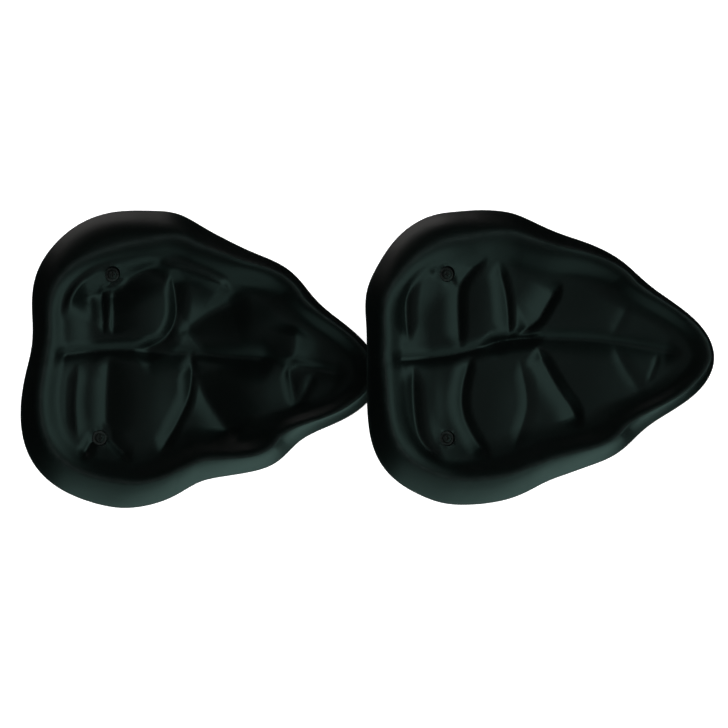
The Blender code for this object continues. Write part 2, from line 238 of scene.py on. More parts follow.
def outline_radius(angle):
    """Distance from the leaf's centre to its edge: a circle swollen by a tip, its sides and two lobes."""
    tip = TIP_RISE * swelling(angle, (0.0,), TIP_SPREAD)
    tip_sides = TIP_SIDE_RISE * swelling(angle, (-TIP_SIDE_ANGLE, TIP_SIDE_ANGLE), TIP_SIDE_SPREAD)
    lobes = LOBE_RISE * swelling(angle, (-LOBE_ANGLE, LOBE_ANGLE), LOBE_SPREAD)
    return MM * (MIDDLE_RADIUS + tip + tip_sides + lobes)


def leaf_edge(angle, hand):
    """The outline of one hand's leaf: the common outline, plus bells a few millimetres in or out."""
    return outline_radius(angle) + MM * sum(
        height * swelling(angle, (centre,), spread) for centre, spread, height in hand["edge_waves"]
    )


def smooth_step(value):
    """0 below 0, 1 above 1, and three times the square less twice the cube between them."""
    clipped = np.clip(value, 0.0, 1.0)
    return clipped * clipped * (3.0 - 2.0 * clipped)


def rounded_line(points):
    """The points' polyline with its corners cut off twice, each cut at a quarter of a side."""
    line = np.array(points, float) * MM
    for _ in range(CORNER_CUTS):
        near = 0.75 * line[:-1] + 0.25 * line[1:]
        far = 0.25 * line[:-1] + 0.75 * line[1:]
        between = np.stack((near, far), axis=1).reshape(-1, 2)
        line = np.vstack((line[:1], between, line[-1:]))
    return line


def beside_line(x, y, line):
    """Distance to a polyline, its side (1 on its left, -1 on its right), and the distance along it from
    its nearer end."""
    best = np.full(x.shape, 1.0e9)
    side = np.ones(x.shape)
    along = np.zeros(x.shape)
    start = 0.0
    for (ax, ay), (bx, by) in zip(line[:-1], line[1:]):
        dx, dy = bx - ax, by - ay
        length = math.hypot(dx, dy)
        share = np.clip(((x - ax) * dx + (y - ay) * dy) / length**2, 0.0, 1.0)
        gap = np.hypot(x - ax - share * dx, y - ay - share * dy)
        nearer = gap < best
        best = np.where(nearer, gap, best)
        side = np.where(nearer, np.sign(dx * (y - ay) - dy * (x - ax) + 1.0e-15), side)
        along = np.where(nearer, start + share * length, along)
        start += length
    return best, side, np.minimum(along, start - along)


def pressed_line(x, y, points, depth, left, right, fade):
    """Depth of a valley along a line: the depth times the square of one less the distance over the
    width, which is left or right by side, eased over the fade at its ends. The distance is rounded at
    the bottom by a hyperbola. A negative depth makes a ridge."""
    gap, side, from_end = beside_line(x, y, rounded_line(points))
    ease = smooth_step(from_end / (fade * MM) + 0.02)
    width = np.where(side > 0.0, left, right) * MM * (NARROW_END + (1.0 - NARROW_END) * ease)
    bottom = ROUND_BOTTOM * (left + right) * MM
    eased = np.sqrt(gap**2 + bottom**2) - bottom
    return depth * MM * ease * np.clip(1.0 - eased / width, 0.0, 1.0) ** 2


def cushion(x, y, place, radius, height):
    """Rise of a soft oval cushion: its height times e to the power of minus the square of the distance
    from its place, each way over its radius."""
    away = ((x / MM - place[0]) / radius[0]) ** 2 + ((y / MM - place[1]) / radius[1]) ** 2
    return height * MM * np.exp(-away)


def relief_depth(x, y, hand, soften):
    """Depth of all the pressed lines less the cushions between them."""
    total = np.zeros(x.shape)
    for points, depth, left, right, fade in hand["lines"]:
        total += pressed_line(x, y, points, depth, left * soften, right * soften, fade)
    for place, radius, height in hand["cushions"]:
        total -= cushion(x, y, place, radius, height)
    return total


def between_stops(angle, stops):
    """Straight-line value between stops of angle and value, for any angle round the leaf."""
    turn = np.degrees(np.arctan2(np.sin(angle), np.cos(angle)))
    return np.interp(turn, *zip(*stops))


def upper_lobe(angle):
    """A bell over the upper lobe."""
    return swelling(angle, (UPPER_LOBE_ANGLE,), UPPER_LOBE_SPREAD)


def lip_inset(angle, hand):
    """Distance from the edge in to the lip's crest. Narrow at the tip and the stem, with small steps
    like the serrations of a leaf, and swollen to a broad rounded shoulder over the upper lobe."""
    return MM * (between_stops(angle, LIP_STOPS) + hand["shoulder"] * upper_lobe(angle))


def bank_width(angle, hand):
    """Width of the bank inside the lip, longer on the side of the upper lobe."""
    longer = hand["upper_bank"] * swelling(angle, (UPPER_BANK_ANGLE,), UPPER_BANK_SPREAD)
    return MM * (between_stops(angle, BANK_STOPS) + longer)


def boss_place():
    """Place of the screw bosses from the leaf's centre: x, and y on either side."""
    reach = float(outline_radius(BOSS_ANGLE)) - BOSS_INSET
    return reach * math.cos(BOSS_ANGLE), reach * math.sin(BOSS_ANGLE)


def leaf_height(x, y, angle, reach, hand, soften):
    """Height of the leaf's face: a skirt outside the lip, a short bank inside it, then a hollow that is
    shallow over the palm, deep in the bowl and shallow again at the tip, less the pressed lines. The lip
    dips at the stem and has a bead by the upper notch, and the floor is held up round each boss."""
    inset = lip_inset(angle, hand)
    inward = leaf_edge(angle, hand) * (1.0 - reach)
    bowl_depth = hand["bowl"] * MM
    depth = PALM_DEPTH + (bowl_depth - PALM_DEPTH) * smooth_step((x / MM - PALM_END) / PALM_FADE)
    depth += (TIP_DEPTH - bowl_depth) * smooth_step((x / MM - TIP_START) / TIP_FADE)
    into = (inward - inset) / bank_width(angle, hand)
    hollow_width = HOLLOW_WIDTH * (1.0 - TIP_PINCH * (1.0 + np.cos(angle)))
    hollow = smooth_step((inward - inset) / hollow_width)
    on_floor = smooth_step((into - RELIEF_START) / (1.0 - RELIEF_START))
    relief = relief_depth(x, y, hand, soften)
    fall = np.clip((inset - inward) / inset, 0.0, 1.0)
    roundness = SKIRT_ROUNDNESS + upper_lobe(angle)
    stem = np.exp(-(((y / MM - STEM_Y) / STEM_HALF_WIDTH) ** 2)) * (x < 0.0) * (1.0 - on_floor)
    height = -BANK_DROP * smooth_step(into) - (depth - BANK_DROP) * hollow - relief * on_floor
    height = height - SKIRT_DEPTH * fall**roundness - STEM_DIP * stem * (1.0 - fall)
    crest = np.exp(-(((inward - inset) / LIP_BEAD_WIDTH) ** 2))
    height = height + LIP_BEAD * (crest * swelling(angle, (BEAD_ANGLE,), BEAD_SPREAD))
    boss_x, boss_y = boss_place()
    from_boss = np.hypot(x - boss_x, np.abs(y) - boss_y)
    near_boss = smooth_step((BOSS_ROOM - from_boss) / (0.5 * BOSS_ROOM))
    return height + near_boss * np.maximum(-PALM_DEPTH - BOSS_DIP - height, 0.0)


def leaf_rows(floor_rows, rim_rows):
    """Shares of the way from the leaf's centre to its edge: even over the floor, finer over the rim."""
    floor = np.linspace(0.0, RIM_START, floor_rows + 1)[1:]
    rim = np.linspace(RIM_START, 1.0, rim_rows + 1)[1:]
    return np.concatenate((floor, rim))


def leaf_face(hand, rows, soften):
    """Points of the leaf's face, as a grid of rows by spokes by three; a soften above 1 widens its lines."""
    angle = np.linspace(0.0, 2.0 * math.pi, SPOKES, endpoint=False)[None, :]
    reach = rows[:, None]
    radius = reach * leaf_edge(angle, hand)
    x = radius * np.cos(angle)
    y = radius * np.sin(angle)
    z = leaf_height(x, y, angle, reach, hand, soften)
    return np.stack((x, y, z), axis=-1)


def snap_round(face, radius, low, wall, pull):
    """Sinks a round, flat-bottomed seat of the radius at each screw boss, down to the low height. Points
    nearer to the circle than the pull are drawn in to it, radius + wall * (gap - radius) / pull, so that
    no cell of the grid spans it and its edge is a clean step."""
    boss_x, boss_y = boss_place()
    for centre_y in (boss_y, -boss_y):
        dx = face[..., 0] - boss_x
        dy = face[..., 1] - centre_y
        gap = np.hypot(dx, dy)
        beyond = gap - radius
        aim = np.where(np.abs(beyond) < pull, radius + wall * beyond / pull, gap)
        scale = aim / np.maximum(gap, 1.0e-6)
        face[..., 0] = boss_x + dx * scale
        face[..., 1] = centre_y + dy * scale
        face[..., 2] = np.where(beyond < 0.0, low, face[..., 2])
    return face


def face_normals(face):
    """Unit normals of a grid of points that closes round its second parameter."""
    around = np.roll(face, -1, axis=1) - np.roll(face, 1, axis=1)
    outward = np.gradient(face, axis=0)
    normal = np.cross(outward, around)
    return normal / np.linalg.norm(normal, axis=-1, keepdims=True)


def leaf_back(hand, rows):
    """The back of the leaf: its face with the lines softened, moved one wall along its normals, with a
    flat round boss under each seat."""
    face = leaf_face(hand, rows, BACK_SOFTENING)
    back = face - WALL * face_normals(face)
    boss_foot = -(PALM_DEPTH + SEAT_SINK + BOSS_FLOOR)
    return snap_round(back, BOSS_RADIUS, boss_foot, BOSS_WALL, BOSS_PULL)


def grid_faces(rows, columns, flip):
    """Quads of a grid that closes round its columns."""
    row, column = np.meshgrid(np.arange(rows - 1), np.arange(columns), indexing="ij")
    ahead = (column + 1) % columns
    corners = [row * columns + column, (row + 1) * columns + column]
    corners += [(row + 1) * columns + ahead, row * columns + ahead]
    quads = np.stack(corners, axis=-1).reshape(-1, 4)
    return quads[:, ::-1] if flip else quads


def fan_faces(columns, ring, centre, flip):
    """Triangles from a ring of vertices to one centre vertex."""
    here = np.arange(columns)
    ahead = (here + 1) % columns
    fan = np.stack((np.full(columns, centre), here + ring, ahead + ring), axis=-1)
    return fan[:, ::-1] if flip else fan


def capped_faces(rows, columns, flip):
    """Faces of a run of rings, closed at both ends to the two centre vertices that follow them."""
    total = rows * columns
    return [
        grid_faces(rows, columns, flip),
        fan_faces(columns, 0, total, flip),
        fan_faces(columns, total - columns, total + 1, not flip),
    ]


def middle_of(node):
    """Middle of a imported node's box."""
    low_corner, high_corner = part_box(node)
    return 0.5 * (np.array(low_corner) + np.array(high_corner))


def leaf_frame(side):
    """Origin and axes of a hand's leaf, found from its two washers, which lie flat on their seats: the
    axis in which a washer's points spread least points up, and the line between the washers goes across."""
    upper = middle_of(f"{side}_upper_screw_washer")
    lower = middle_of(f"{side}_lower_screw_washer")
    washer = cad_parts[f"{side}_upper_screw_washer"].data
    places = np.empty(len(washer.vertices) * 3, np.float32)
    washer.vertices.foreach_get("co", places)
    places = places.reshape(-1, 3).astype(float)
    spread = np.linalg.svd(places - upper)[2]
    up = spread[2] * np.sign(spread[2][2])
    across = (upper - lower) / np.linalg.norm(upper - lower)
    along = np.cross(across, up)
    origin = 0.5 * (upper + lower) - along * boss_place()[0]
    origin = origin + up * (PALM_DEPTH + SEAT_SINK - WASHER_MID)
    return origin, np.column_stack((along, across, up))


def to_world(points, side):
    """Leaf points in world place."""
    origin, axes = leaf_frame(side)
    return origin + points @ axes.T


def make_mesh(name, points, faces, smooth_angle=35.0):
    """A mesh object at the origin from world points and a list of face arrays, shaded smooth."""
    mesh = bpy.data.meshes.new(name)
    polygons = [tuple(face) for group in faces for face in group.tolist()]
    mesh.from_pydata(points.tolist(), [], polygons)
    mesh.shade_smooth()
    mesh.set_sharp_from_angle(angle=math.radians(smooth_angle))
    piece = bpy.data.objects.new(name, mesh)
    bpy.context.scene.collection.objects.link(piece)
    return piece


def build_leaf(side, hand):
    """One shell: front face, rounded edge and back face, closed at both centres. An attribute says where
    handling rubs it."""
    front = leaf_face(hand, leaf_rows(FLOOR_ROWS, RIM_ROWS), 1.0)
    front = snap_round(front, SEAT_RADIUS, -(PALM_DEPTH + SEAT_SINK), SEAT_WALL, SEAT_PULL)
    back = leaf_back(hand, leaf_rows(BACK_FLOOR_ROWS, BACK_RIM_ROWS))
    outward = face_normals(front)[-1] * (1.0, 1.0, 0.0)
    middle = 0.5 * (front[-1] + back[-1]) + EDGE_ROUND * outward
    rings = np.concatenate((front, middle[None], back[::-1]))
    front_pole = np.array([0.0, 0.0, front[0, :, 2].mean()])
    back_pole = np.array([0.0, 0.0, back[0, :, 2].mean()])
    points = np.vstack((rings.reshape(-1, 3), front_pole, back_pole))
    faces = capped_faces(rings.shape[0], SPOKES, False)
    piece = make_mesh(f"{side}_leaf", to_world(points, side), faces)
    angle = np.arctan2(points[:, 1], points[:, 0])
    inward = leaf_edge(angle, hand) - np.hypot(points[:, 0], points[:, 1])
    on_crest = np.exp(-(((inward - lip_inset(angle, hand)) / CREST_RUB) ** 2))
    rub = on_crest + np.exp(-((inward / EDGE_RUB) ** 2))
    wear = piece.data.attributes.new("lip_wear", "FLOAT", "POINT")
    wear.data.foreach_set("value", np.clip(rub, 0.0, 1.0).astype(np.float32))
    return piece


def add_node(tree, kind, inputs=None, **settings):
    """A shader node with its settings and input values; an input that is a socket is linked."""
    node = tree.nodes.new(kind)
    for key, value in settings.items():
        setattr(node, key, value)
    for key, value in (inputs or {}).items():
        if isinstance(value, bpy.types.NodeSocket):
            tree.links.new(value, node.inputs[key])
        else:
            node.inputs[key].default_value = value
    return node


def start_material(name):
    """A new material, its node tree, its shader and the socket that says where a point of the piece is."""
    material = bpy.data.materials.new(name)
    material.use_nodes = True
    tree = material.node_tree
    place = add_node(tree, "ShaderNodeTexCoord").outputs["Object"]
    return material, tree, tree.nodes["Principled BSDF"], place


def two_tone(tree, factor, low, high):
    """Colour that goes from a low tone to a high tone as the factor rises between their two places."""
    ramp = add_node(tree, "ShaderNodeValToRGB", {"Fac": factor})
    for element, (position, tone) in zip(ramp.color_ramp.elements, (low, high)):
        element.position = position
        element.color = (*tone, 1.0)
    return ramp.outputs["Color"]


def leaf_plastic():
    """Dark green polypropylene: faint flow marks in the colour, a fine moulded grain, and a lip that
    handling has rubbed lighter and duller."""
    material, tree, shader, place = start_material("leaf_plastic")
    shader.inputs["IOR"].default_value = PLASTIC_IOR
    flow = add_node(
        tree,
        "ShaderNodeTexNoise",
        {"Vector": place, "Scale": 9.0, "Detail": 5.0, "Roughness": 0.6},
    )
    colour = two_tone(tree, flow.outputs["Fac"], LEAF_DARK, LEAF_PALE)
    worn = add_node(tree, "ShaderNodeAttribute", attribute_name="lip_wear")
    scuff = add_node(tree, "ShaderNodeTexNoise", {"Vector": place, "Scale": 140.0, "Detail": 4.0})
    rub = add_node(
        tree,
        "ShaderNodeMath",
        {0: worn.outputs["Fac"], 1: scuff.outputs["Fac"]},
        operation="MULTIPLY",
    )
    tint = add_node(
        tree,
        "ShaderNodeMix",
        {"Factor": rub.outputs[0], "A": colour, "B": LEAF_RUBBED},
        data_type="RGBA",
    )
    tree.links.new(tint.outputs["Result"], shader.inputs["Base Color"])
    patch = add_node(tree, "ShaderNodeTexNoise", {"Vector": place, "Scale": 30.0, "Detail": 3.0})
    gloss = add_node(
        tree,
        "ShaderNodeMapRange",
        {"Value": patch.outputs["Fac"], "To Min": 0.32, "To Max": 0.40},
    )
    dull = add_node(
        tree,
        "ShaderNodeMath",
        {0: rub.outputs[0], 1: RUB_DULLING, 2: gloss.outputs["Result"]},
        operation="MULTIPLY_ADD",
    )
    tree.links.new(dull.outputs[0], shader.inputs["Roughness"])
    grain = add_node(tree, "ShaderNodeTexNoise", {"Vector": place, "Scale": 1400.0, "Detail": 2.0})
    ripple = add_node(tree, "ShaderNodeTexNoise", {"Vector": place, "Scale": 60.0, "Detail": 2.0})
    fine = add_node(
        tree, "ShaderNodeBump", {"Height": grain.outputs["Fac"], "Strength": 0.10, "Distance": 0.0002}
    )
    broad = add_node(
        tree,
        "ShaderNodeBump",
        {
            "Height": ripple.outputs["Fac"],
            "Strength": 0.12,
            "Distance": 0.0012,
            "Normal": fine.outputs["Normal"],
        },
    )
    tree.links.new(broad.outputs["Normal"], shader.inputs["Normal"])
    return material


# Each line: its points in mm from the leaf's centre, its depth, its widths on the left and the right of
# its direction, and the length over which its ends fade. Each cushion: place, radii and height. Each edge
# wave: angle and spread in degrees, and height. All lengths are in mm.
LEFT_LINES = [
    # midrib from the stem, turning up round the palm's cushion
    (
        [(-150, -7), (-120, -5), (-92, 2), (-60, 7), (-30, 9), (-8, 20), (2, 42), (0, 66), (-8, 92)],
        5.5, 12, 15, 18,
    ),
    # midrib from there to the tip
    ([(-40, 6), (0, 8), (30, 10), (60, 9), (108, 10)], 6.5, 20, 26, 20),
    ([(112, 10), (130, 5), (180, 0)], 4.0, 14, 22, 16),
    # first upper vein, a double line
    ([(-70, 20), (-72, 45), (-75, 72)], 2.4, 9, 5, 12),
    ([(-60, 20), (-61, 45), (-62, 70)], 3.2, 6, 26, 12),
    # end wall of the first upper vein: a facet between a ridge and a valley
    ([(-116, 30), (-101, 70), (-66, 104), (-26, 110), (2, 112)], -6.0, 12, 36, 30),
    ([(-108, 50), (-72, 62), (-46, 80), (-14, 106)], 8.0, 30, 28, 24),
    # first lower vein and its flares
    ([(-62, 4), (-62, -40), (-58, -86)], 4.4, 28, 17, 20),
    ([(-64, -70), (-54, -84), (-32, -104)], 3.4, 14, 9, 14),
    ([(-66, -70), (-75, -88), (-86, -108)], 3.4, 10, 10, 14),
    ([(-93, -8), (-94, -50), (-88, -86)], -2.8, 26, 9, 20),
    # second upper vein: a bright facet beyond the cushion, and a dark one behind it
    ([(-24, 96), (14, 95), (60, 72)], -6.0, 14, 32, 22),
    ([(0, 22), (18, 38), (44, 57), (76, 68)], 7.5, 28, 44, 24),
    # second lower vein: a stem with a thin inner branch and a wide outer branch
    ([(20, 14), (23, -24), (16, -50), (-7, -98)], 3.4, 8, 15, 20),
    ([(24, 2), (33, -27), (49, -48), (71, -75)], 5.6, 36, 23, 16),
    # third veins near the tip, and the sloping plate above the tip's line
    ([(116, 8), (124, -16), (130, -42)], 2.8, 14, 12, 16),
    ([(146, 2), (138, -18), (130, -38)], 2.2, 10, 9, 12),
    ([(118, -2), (123, 50)], -5.0, 34, 40, 18),
]
LEFT_CUSHIONS = [
    ((-32, 46), (30, 32), 5.0),
    ((-100, 26), (16, 22), 2.0),
    ((-22, -47), (26, 42), 4.0),
    ((88, 40), (32, 24), 7.5),
    ((86, -22), (31, 32), 8.0),
    ((117, 24), (22, 18), 3.5),
]
LEFT_EDGE = [
    (-73, 13, -8.5), (-52, 20, -4.5), (-142, 20, 7.0), (176, 15, -6.5), (-24, 12, -6.0),
    (92, 10, 5.0), (152, 12, 2.5), (50, 20, 2.6), (-104, 10, 2.0),
]
RIGHT_LINES = [
    # midrib: a sunk plate at the stem, then a line that rises to the middle and falls to the tip
    ([(-148, -4), (-112, -4), (-68, 0), (-40, 6), (-4, 18), (36, 20)], 5.0, 12, 14, 18),
    ([(-34, 9), (-4, 17), (32, 19), (90, 17), (118, 13), (178, 3)], 5.0, 14, 20, 20),
    # first upper vein: lit band on its left, steep right wall
    ([(-52, 6), (-54, 40), (-54, 66), (-49, 78), (-26, 102)], 4.0, 19, 10, 20),
    ([(-88, 86), (-66, 80), (-54, 68)], 2.2, 9, 9, 12),
    # dark foot of the bank at the stem end, above and below
    ([(-106, 12), (-109, 58), (-101, 88), (-62, 122)], 4.2, 16, 12, 24),
    ([(-101, -8), (-100, -56), (-94, -86), (-70, -110)], 4.2, 12, 16, 24),
    # second upper vein
    ([(-2, 18), (-3, 46), (-6, 68), (-14, 96)], 3.6, 18, 8, 18),
    ([(4, 22), (28, 35), (34, 46), (52, 76)], 6.0, 30, 8, 18),
    # first lower vein, shaped like a cane
    ([(-40, 2), (-50, -30), (-50, -56), (-40, -78), (-22, -104)], 4.8, 9, 17, 18),
    ([(-92, -112), (-56, -118), (-20, -112)], 3.0, 20, 10, 20),
    # second lower vein: soft inner branch and sharp outer branch
    ([(8, 0), (18, -44), (12, -68), (0, -96)], 1.5, 12, 12, 24),
    ([(26, 12), (38, -12), (50, -33), (64, -51), (72, -72)], 6.0, 9, 25, 18),
    # third veins near the tip
    ([(104, 14), (118, -14), (138, -40)], 1.2, 12, 12, 20),
    ([(152, 4), (146, -12), (140, -26)], 0.9, 5, 6, 9),
    ([(102, 20), (112, 36), (121, 56)], 0.9, 12, 10, 14),
]
RIGHT_CUSHIONS = [
    ((-28, 50), (22, 30), 3.0),
    ((-84, -50), (14, 36), 2.5),
    ((-14, -50), (24, 38), 1.5),
    ((84, -24), (44, 36), 4.0),
    ((84, 48), (40, 26), 3.0),
]
RIGHT_EDGE = [
    (-142, 17, 6.5), (157, 10, 4.5), (-37, 26, -3.3), (22, 12, 2.6), (110, 8, -1.9),
    (-74, 11, -3.8), (89, 9, 2.5), (56, 11, 3.2), (-115, 8, 1.4),
]
# bowl is the deepest floor; shoulder and upper_bank are what the upper lobe adds to the lip and the bank
HANDS = {
    "left": {
        "bowl": 18.0,
        "shoulder": 19.0,
        "upper_bank": 12.0,
        "lines": LEFT_LINES,
        "cushions": LEFT_CUSHIONS,
        "edge_waves": LEFT_EDGE,
    },
    "right": {
        "bowl": 15.5,
        "shoulder": 13.0,
        "upper_bank": 14.0,
        "lines": RIGHT_LINES,
        "cushions": RIGHT_CUSHIONS,
        "edge_waves": RIGHT_EDGE,
    },
}
leaf_finish = leaf_plastic()
for side, hand in HANDS.items():
    shell = build_leaf(side, hand)
    shell.data.materials.append(leaf_finish)
    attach(shell, f"{side}_hand")
    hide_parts(f"{side}_leaf_shell")


# ---------------------------------------------------------------------------------------------------------
# Screws: pan heads with a cross recess and a rolled thread, carbon steel with a black phosphate finish
# that is rubbed thin on the crown and round the recess.
# ---------------------------------------------------------------------------------------------------------

ROUND = 96
HEAD_RINGS = 44
SHANK_RINGS = 110
SCREW_RADIUS = 2.4 * MM
SCREW_LENGTH = 24.0 * MM
SCREW_POINT = 2.5 * MM
BLUNTNESS = 0.02
THREAD_PITCH = 1.7 * MM
THREAD_DEPTH = 0.45 * MM
THREAD_START = 2.0 * MM
HEAD_RADIUS = 4.7 * MM
HEAD_HEIGHT = 3.4 * MM
HEAD_UNDERCUT = 0.2 * MM
CROWN = 1.5 * MM
CROSS_REACH = 2.5 * MM
CROSS_HALF = 0.55 * MM
CROSS_DEPTH = 1.7 * MM
CROSS_SIDE_SLOPE = 0.3 * MM
CROSS_END_SLOPE = 0.5 * MM
HEAD_UNDERSIDE = -16.2 * MM
TURNED_SHARP_ANGLE = 40.0
SCREW_BLACK = ((0.016, 0.020, 0.019), (0.028, 0.033, 0.031))
SCREW_RUBBED = (0.07, 0.078, 0.075)
SCREW_ROUGHNESS = 0.42


def turned_surface(name, side, rings, centre):
    """An object from rings of points about a centre in the leaf frame, closed at both poles."""
    points = np.vstack((rings.reshape(-1, 3), rings[0].mean(axis=0), rings[-1].mean(axis=0)))
    faces = capped_faces(*rings.shape[:2], False)
    return make_mesh(name, to_world(points + np.array(centre), side), faces, TURNED_SHARP_ANGLE)


def screw_rings():
    """Rings of a screw, from the middle of the head, over the crown, down the thread to the point. The
    crown falls with the fifth power of the radius; the thread is a triangle wave of the way down, in
    pitches, less the turn."""
    angle = np.linspace(0.0, 2.0 * math.pi, ROUND, endpoint=False)[None, :]
    share = np.linspace(0.04, 1.0, HEAD_RINGS)[:, None]
    radius = share * HEAD_RADIUS + 0.0 * angle
    height = HEAD_HEIGHT - CROWN * share**5 + 0.0 * angle
    x, y = radius * np.cos(angle), radius * np.sin(angle)
    arm = np.minimum(np.abs(x), np.abs(y))
    reach = np.maximum(np.abs(x), np.abs(y))
    cut = smooth_step((CROSS_HALF - arm) / CROSS_SIDE_SLOPE)
    cut = cut * smooth_step((CROSS_REACH - reach) / CROSS_END_SLOPE)
    height = height - CROSS_DEPTH * cut
    head = np.stack((x, y, height), axis=-1)
    side_height = np.array([0.6, 0.15, 0.0, 0.0])[:, None] * (HEAD_HEIGHT - CROWN) + 0.0 * angle
    under_radius = HEAD_RADIUS - HEAD_UNDERCUT
    side_radius = np.array([HEAD_RADIUS, HEAD_RADIUS, under_radius, SCREW_RADIUS])[:, None]
    rim = np.stack((side_radius * np.cos(angle), side_radius * np.sin(angle), side_height), axis=-1)
    down = np.linspace(0.0, SCREW_LENGTH, SHANK_RINGS)[1:-1, None]
    turn = down / THREAD_PITCH - angle / (2.0 * math.pi)
    groove = THREAD_DEPTH * np.abs(2.0 * (turn - np.floor(turn)) - 1.0)
    taper = np.clip((SCREW_LENGTH - down) / SCREW_POINT, BLUNTNESS, 1.0)
    shank = (SCREW_RADIUS - groove * smooth_step(down / THREAD_START)) * taper
    body = np.stack((shank * np.cos(angle), shank * np.sin(angle), -down + 0.0 * angle), axis=-1)
    return np.concatenate((head, rim, body))


def black_steel(name, tones, rub_colour, roughness):
    """Black-finished steel: a cloudy black coat over grey metal that shows through where it is rubbed."""
    material, tree, shader, place = start_material(name)
    shader.inputs["Metallic"].default_value = 0.85
    cloud = add_node(tree, "ShaderNodeTexNoise", {"Vector": place, "Scale": 600.0, "Detail": 5.0})
    coat = two_tone(tree, cloud.outputs["Fac"], (0.35, tones[0]), (0.65, tones[1]))
    edge = add_node(tree, "ShaderNodeNewGeometry").outputs["Pointiness"]
    rubbed = add_node(
        tree,
        "ShaderNodeMapRange",
        {"Value": edge, "From Min": 0.52, "From Max": 0.62, "To Min": 0.0, "To Max": 0.7},
    )
    tint = add_node(
        tree,
        "ShaderNodeMix",
        {"Factor": rubbed.outputs["Result"], "A": coat, "B": (*rub_colour, 1.0)},
        data_type="RGBA",
    )
    tree.links.new(tint.outputs["Result"], shader.inputs["Base Color"])
    gloss = add_node(
        tree,
        "ShaderNodeMapRange",
        {"Value": cloud.outputs["Fac"], "To Min": roughness - 0.08, "To Max": roughness + 0.12},
    )
    tree.links.new(gloss.outputs["Result"], shader.inputs["Roughness"])
    pits = add_node(
        tree, "ShaderNodeBump", {"Height": cloud.outputs["Fac"], "Strength": 0.2, "Distance": 0.00005}
    )
    tree.links.new(pits.outputs["Normal"], shader.inputs["Normal"])
    return material


screw_finish = black_steel("black_screw_steel", SCREW_BLACK, SCREW_RUBBED, SCREW_ROUGHNESS)
boss_x, boss_y = boss_place()
for side in HANDS:
    for row, place_y in (("upper", boss_y), ("lower", -boss_y)):
        seat = (boss_x, place_y, HEAD_UNDERSIDE)
        screw = turned_surface(f"{side}_{row}_screw", side, screw_rings(), seat)
        screw.data.materials.append(screw_finish)
        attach(screw, f"{side}_hand")
        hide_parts(f"{side}_{row}_grip_screw")


# ---------------------------------------------------------------------------------------------------------
# Washers: stamped steel rings with slightly rolled edges, black oxide, rubbed bright round the rim by
# the turning of the screw.
# ---------------------------------------------------------------------------------------------------------

WASHER_BORE = 2.7 * MM
WASHER_RADIUS = 7.0 * MM
WASHER_HALF = 0.6 * MM
SECTION_STEPS = 33
SIDE_SQUARENESS = 0.16
FACE_SQUARENESS = 0.4
WASHER_BLACK = ((0.026, 0.032, 0.030), (0.044, 0.050, 0.048))
WASHER_RUBBED = (0.08, 0.088, 0.085)
WASHER_ROUGHNESS = 0.40


def washer_rings():
    """Rings of a flat washer: an oblong with rounded corners, whose half sides times a low power of the
    cosine and sine of the turn give its outline, carried round the axis."""
    turn = np.linspace(0.0, 2.0 * math.pi, SECTION_STEPS)[:-1, None]
    angle = np.linspace(0.0, 2.0 * math.pi, ROUND, endpoint=False)[None, :]
    middle = 0.5 * (WASHER_BORE + WASHER_RADIUS)
    across = 0.5 * (WASHER_RADIUS - WASHER_BORE)
    radius = middle + across * np.sign(np.cos(turn)) * np.abs(np.cos(turn)) ** SIDE_SQUARENESS
    height = WASHER_HALF * np.sign(np.sin(turn)) * np.abs(np.sin(turn)) ** FACE_SQUARENESS
    return np.stack((radius * np.cos(angle), radius * np.sin(angle), height + 0.0 * angle), axis=-1)


def hoop_faces(rows, columns):
    """Quads of a grid that closes round its rows and round its columns."""
    row, column = np.meshgrid(np.arange(rows), np.arange(columns), indexing="ij")
    below = (row + 1) % rows
    ahead = (column + 1) % columns
    corners = [row * columns + column, row * columns + ahead]
    corners += [below * columns + ahead, below * columns + column]
    return np.stack(corners, axis=-1).reshape(-1, 4)


washer_finish = black_steel("washer_steel", WASHER_BLACK, WASHER_RUBBED, WASHER_ROUGHNESS)
for side in HANDS:
    for row, place_y in (("upper", boss_y), ("lower", -boss_y)):
        rings = washer_rings()
        seat = np.array((boss_x, place_y, -PALM_DEPTH - SEAT_SINK + WASHER_MID))
        points = to_world(rings.reshape(-1, 3) + seat, side)
        faces = [hoop_faces(*rings.shape[:2])]
        washer = make_mesh(f"{side}_{row}_washer", points, faces, TURNED_SHARP_ANGLE)
        washer.data.materials.append(washer_finish)
        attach(washer, f"{side}_hand")
        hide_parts(f"{side}_{row}_screw_washer")


# ---------------------------------------------------------------------------------------------------------
# Grips: D-shaped bars moulded in the same green plastic with a spark-eroded grain, a flared foot under
# each screw, four shallow finger rests on the side towards the leaf and a flat on which the hand lies.
# ---------------------------------------------------------------------------------------------------------

GRIP_RADIUS = 12.5 * MM
GRIP_BEND = 23.0 * MM
GRIP_AXIS = -62.1 * MM
FOOT_TOP = -22.3 * MM
FOOT_RADIUS = 15.0 * MM
FOOT_THICKNESS = 5.0 * MM
FOOT_FILLET = 4.0 * MM
FOOT_CORNER = 0.8 * MM
FOOT_SHARE = 0.4
FOOT_RINGS = 26
HALF_GRIP_RINGS = 110
FINGER_DEPTH = 0.9 * MM
FINGER_PITCH = 27.0 * MM
FINGER_FADE = 8.0 * MM
SEAM_HEIGHT = 0.12 * MM
SEAM_SPREAD = 0.05
LYING_HEIGHT = 0.00002
GRIP_SHARP_ANGLE = 50.0
GRIP_DARK = (0.3, (0.0022, 0.0036, 0.0032))
GRIP_PALE = (0.7, (0.0042, 0.0064, 0.0057))


def mirrored(values, middle=0.0, sign=1.0):
    """The first half's values, then the same ones backwards, times the sign, from a middle value."""
    return np.concatenate((values, middle + sign * values[-2::-1]))


